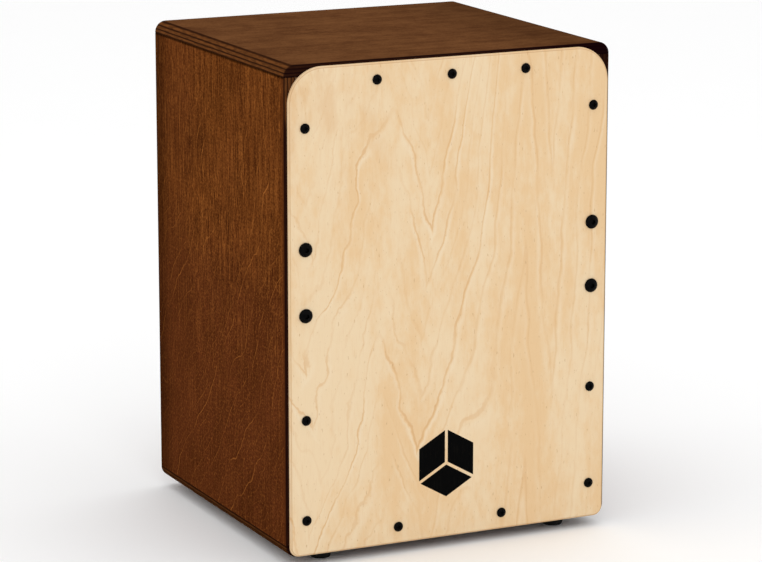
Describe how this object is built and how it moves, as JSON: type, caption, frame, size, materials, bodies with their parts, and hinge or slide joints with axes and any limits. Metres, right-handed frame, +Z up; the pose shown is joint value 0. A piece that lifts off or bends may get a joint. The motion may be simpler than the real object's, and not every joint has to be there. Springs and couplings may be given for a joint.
{
  "type": "cajon",
  "caption": "Box drum with a thin front playing surface, stained plywood shell, rear sound hole, inner snares and rubber feet.",
  "frame": {"origin": "on the floor under the feet, below the middle of the bounding box", "axes": "+Z up, -Y towards the player in front of the playing surface, +X to the right seen from the front"},
  "size_m": [0.32, 0.3037, 0.45],
  "materials": {
    "stained_plywood": "brown stain under satin lacquer",
    "birch_veneer": "clear satin lacquer",
    "raw_wood": "unfinished sanded softwood",
    "black_steel": "black coated steel",
    "zinc_steel": "zinc plated steel",
    "rubber": "matte black rubber"
  },
  "bodies": {
    "root": {"back_batten_bottom": "raw_wood", "back_batten_left": "raw_wood", "back_batten_right": "raw_wood", "back_batten_top": "raw_wood", "back_panel": "stained_plywood", "bottom_panel": "stained_plywood", "foot_back_left": "rubber", "foot_back_right": "rubber", "foot_front_left": "rubber", "foot_front_right": "rubber", "foot_screw_back_left": "black_steel", "foot_screw_back_right": "black_steel", "foot_screw_front_left": "black_steel", "foot_screw_front_right": "black_steel", "foot_washer_back_left": "zinc_steel", "foot_washer_back_right": "zinc_steel", "foot_washer_front_left": "zinc_steel", "foot_washer_front_right": "zinc_steel", "front_batten_bottom": "raw_wood", "front_batten_left": "raw_wood", "front_batten_right": "raw_wood", "front_batten_top": "raw_wood", "left_side_panel": "stained_plywood", "nut_left_lower": "zinc_steel", "nut_left_upper": "zinc_steel", "nut_right_lower": "zinc_steel", "nut_right_upper": "zinc_steel", "playing_surface": "birch_veneer", "right_side_panel": "stained_plywood", "snare_bar": "raw_wood", "snare_screw_left_inner": "zinc_steel", "snare_screw_left_outer": "zinc_steel", "snare_screw_right_inner": "zinc_steel", "snare_screw_right_outer": "zinc_steel", "snare_set_left": "zinc_steel", "snare_set_right": "zinc_steel", "tapa_bolt_left_lower": "black_steel", "tapa_bolt_left_upper": "black_steel", "tapa_bolt_right_lower": "black_steel", "tapa_bolt_right_upper": "black_steel", "tapa_screw_base_left": "black_steel", "tapa_screw_base_right": "black_steel", "tapa_screw_left_bottom": "black_steel", "tapa_screw_left_lower": "black_steel", "tapa_screw_left_upper": "black_steel", "tapa_screw_right_bottom": "black_steel", "tapa_screw_right_lower": "black_steel", "tapa_screw_right_upper": "black_steel", "tapa_screw_top_left": "black_steel", "tapa_screw_top_middle": "black_steel", "tapa_screw_top_right": "black_steel", "top_panel": "stained_plywood", "washer_left_lower": "zinc_steel", "washer_left_upper": "zinc_steel", "washer_right_lower": "zinc_steel", "washer_right_upper": "zinc_steel"}
  },
  "joints": []
}
